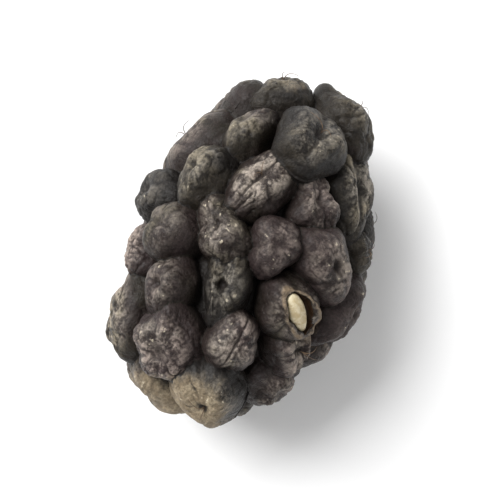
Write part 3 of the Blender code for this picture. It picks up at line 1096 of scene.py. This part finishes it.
def pocketEgg():
    mesh, polar, around = sphereGrid("pocket", *bareSeed["grid"])
    points = eggPoints(polar, around, bareSeed["gap"])
    wide, far = hollowWidth(points[:, 0], points[:, 1])
    points = points * np.stack([far, wide, np.ones(len(points))], axis=1)
    size, high = bareSeed["ragged"]
    points = pushedOut(points, high * noiseAt(points, size, shift=2.0))
    writePoints(mesh, points * mm)
    return mesh


def seedMaterial():
    material, tree, surface = newMaterial("seedHusk")
    # dark flecks, and the husk darker towards the bottom of the seed
    darkening = reckon(tree, "MAXIMUM", flecked(tree, bareSeed),
                    product(tree, share(tree, "darkened"), bareSeed["darkerBelowStrength"]))
    husk = twoTone(tree, bareSeed, "husk", "light")
    colour = mixColour(tree, darkening, husk, bareSeed["darkTone"])
    finishSurface(tree, surface, bareSeed, colour)
    return material


def buildSeed(torn):
    mesh, polar, around = sphereGrid("bareSeed", *bareSeed["grid"])
    points = eggPoints(polar, around, 0.0)
    ridge = bell(np.abs(around), math.pi / 2, bareSeed["keelReach"]) * np.sin(polar)
    size, deep = bareSeed["pitting"]
    points = pushedOut(points, bareSeed["keel"] * ridge + deep * noiseAt(points, size, shift=5.0))
    writePoints(mesh, points * mm)
    # darker towards the bottom of the seed
    writeShares(mesh, {"darkened": fade(*bareSeed["darkerBelow"], points[:, 2])})
    mesh.shade_smooth()
    mesh.materials.append(seedMaterial())
    seed = newPiece("bareSeed", mesh)
    seed.matrix_world = seedPlace(torn)
    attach(seed, "root")
    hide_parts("seed")


# Dried styles

styleThreads = {
    "drupelets": 15,
    "shortest": 0.5,
    "longest": 1.15,
    "radius": 0.026,
    "thinning": 0.6,
    "endRounding": 8.0,
    "steps": 11,
    "sides": 7,
    "drawSeed": 21,
    "rooted": 0.3,  # below the bottom of the dimple
    "overSkin": 0.6,  # highest part over the root
    "spareHeight": 0.3,
    "arch": (1.3, 1.25),  # heights of the two bends, as shares of that
    "archAside": 0.6,
    "curl": 0.35,
    "droop": 0.3,
    # colours
    "dark": (0.050, 0.028, 0.017, 1.0),
    "light": (0.150, 0.095, 0.052, 1.0),
    # finish
    "mottlePerMm": 1.5,
    "grainPerMm": 10.0,
    "cracks": 0.2,
    "roughness": (0.55, 0.75),
}


def threadRoute(drupelet, draw):
    outward = drupelet["axes"] @ Vector((0.0, 0.0, 1.0))
    aside = (drupelet["axes"] @ Vector((draw.uniform(-1, 1), draw.uniform(-1, 1), 0.0))).normalized()
    curl = outward.cross(aside) * draw.uniform(-styleThreads["curl"], styleThreads["curl"])
    length = draw.uniform(styleThreads["shortest"], styleThreads["longest"])
    high = styleThreads["overSkin"]
    root = drupelet["centre"] + middle + outward * (
        drupelet["crown"] - berry["dimple"] - styleThreads["rooted"])
    tip = root + aside * length + curl + outward * (
        high + draw.uniform(0.0, styleThreads["spareHeight"]) - styleThreads["droop"] * length * length)
    firstBend, lastBend = (root + outward * high * arch for arch in styleThreads["arch"])
    lastBend = lastBend + aside * length * styleThreads["archAside"]
    route = interpolate_bezier(root, firstBend, lastBend, tip, styleThreads["steps"])
    overFloor = [Vector((place.x, place.y, max(place.z, styleThreads["radius"]))) for place in route]
    return overFloor, curl + outward * 0.01  # never zero, however little it curls


def threadMaterial():
    material, tree, surface = newMaterial("driedStyle")
    finishSurface(tree, surface, styleThreads, twoTone(tree, styleThreads, "dark", "light"))
    return material


def buildStyles(drupelets):
    draw = random.Random(styleThreads["drawSeed"])
    template, polar, around = sphereGrid("thread", styleThreads["sides"], styleThreads["steps"] - 1)
    along = polar / math.pi
    full = np.clip(styleThreads["endRounding"] * np.minimum(along, 1.0 - along), 0.0, 1.0)
    radius = styleThreads["radius"] * (1.0 - styleThreads["thinning"] * along) * full
    shape = bmesh.new()
    for drupelet in draw.sample(drupelets[1:], styleThreads["drupelets"]):
        for _ in range(2):  # a mulberry's style is forked
            route, plane = threadRoute(drupelet, draw)
            points = tubePoints(polar, around, route, radius, plane)[0]
            writePoints(template, points * mm)
            shape.from_mesh(template)
    mesh = bpy.data.meshes.new("styleThreads")
    shape.to_mesh(mesh)
    shape.free()
    mesh.shade_smooth()
    mesh.materials.append(threadMaterial())
    styles = newPiece("styleThreads", mesh)
    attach(styles, "root")


# Floor, light and camera

studio = {
    "floorColour": (0.93, 0.93, 0.93, 1.0),
    "floorRoughness": 0.9,
    "floorSize": 1800.0,
    "floorFlat": 350.0,  # from here out the floor sweeps up, so that no horizon shows
    "floorRise": 260.0,
    "floorCells": 60,
    "worldLight": 0.377,
    "lampSize": 720.0,
    "keyPower": 17.9,
    "keyFrom": Vector((-540.0, 510.0, 780.0)),  # in the picture: left, up and towards the camera
    "fillPower": 1.44,
    "fillFrom": Vector((660.0, -300.0, 720.0)),
    "berryAngle": 67.7,  # degrees from the picture's right to the berry's tip
    "lens": 100.0,
    "sensor": 36.0,
    "pictureWidth": 26.2,  # that the camera shows at mid height
    "nearest": 5.0,  # that the camera sees
}


def buildFloor():
    shape = bmesh.new()
    bmesh.ops.create_grid(shape, x_segments=studio["floorCells"], y_segments=studio["floorCells"],
                          size=studio["floorSize"] * mm / 2)
    mesh = bpy.data.meshes.new("studioFloor")
    shape.to_mesh(mesh)
    shape.free()
    points = readPoints(mesh)
    away = np.hypot(points[:, 0], points[:, 1]) / mm
    points[:, 2] = fade(studio["floorFlat"], studio["floorSize"] / 2, away) * studio["floorRise"] * mm
    writePoints(mesh, points)
    mesh.shade_smooth()
    material, tree, surface = newMaterial("paleFloor")
    surface.inputs["Base Color"].default_value = studio["floorColour"]
    surface.inputs["Roughness"].default_value = studio["floorRoughness"]
    mesh.materials.append(material)
    newPiece("studioFloor", mesh)


def buildStudio():
    buildFloor()
    world = bpy.data.worlds.new("softWhite")
    world.use_nodes = True
    back = world.node_tree.nodes["Background"]
    back.inputs["Color"].default_value = (1.0, 1.0, 1.0, 1.0)
    back.inputs["Strength"].default_value = studio["worldLight"]
    bpy.context.scene.world = world

    roll = math.radians(studio["berryAngle"])
    right = Vector((math.cos(roll), -math.sin(roll), 0.0))
    upward = Vector((math.sin(roll), math.cos(roll), 0.0))
    for name in ("key", "fill"):
        origin = studio[name + "From"] * mm
        lamp = bpy.data.lights.new(name, "AREA")
        lamp.energy = studio[name + "Power"]
        lamp.size = studio["lampSize"] * mm
        light = newPiece(name, lamp)
        light.location = right * origin.x + upward * origin.y + Vector((0.0, 0.0, origin.z))
        light.rotation_euler = (-light.location).to_track_quat("-Z", "Y").to_euler()

    camera = bpy.data.cameras.new("overhead")
    camera.lens = studio["lens"]
    camera.sensor_width = studio["sensor"]
    camera.clip_start = studio["nearest"] * mm
    eye = newPiece("overhead", camera)
    distance = studio["pictureWidth"] * studio["lens"] / studio["sensor"]
    eye.location = (0.0, 0.0, (distance + berry["height"] / 2) * mm)
    eye.rotation_euler = (0.0, 0.0, -roll)
    bpy.context.scene.camera = eye
    bpy.context.scene.view_settings.view_transform = "Standard"


drupelets = growDrupelets()
fitToSize(drupelets)
dressDrupelets(drupelets)
print("drupelets placed:", len(drupelets))
buildStudio()
print("floor, light and camera done")
buildFruit(drupelets)
print("fruit done")
buildStalk()
print("stalk done")
buildSeed(drupelets[0])
print("seed done")
buildStyles(drupelets)
print("styles done")
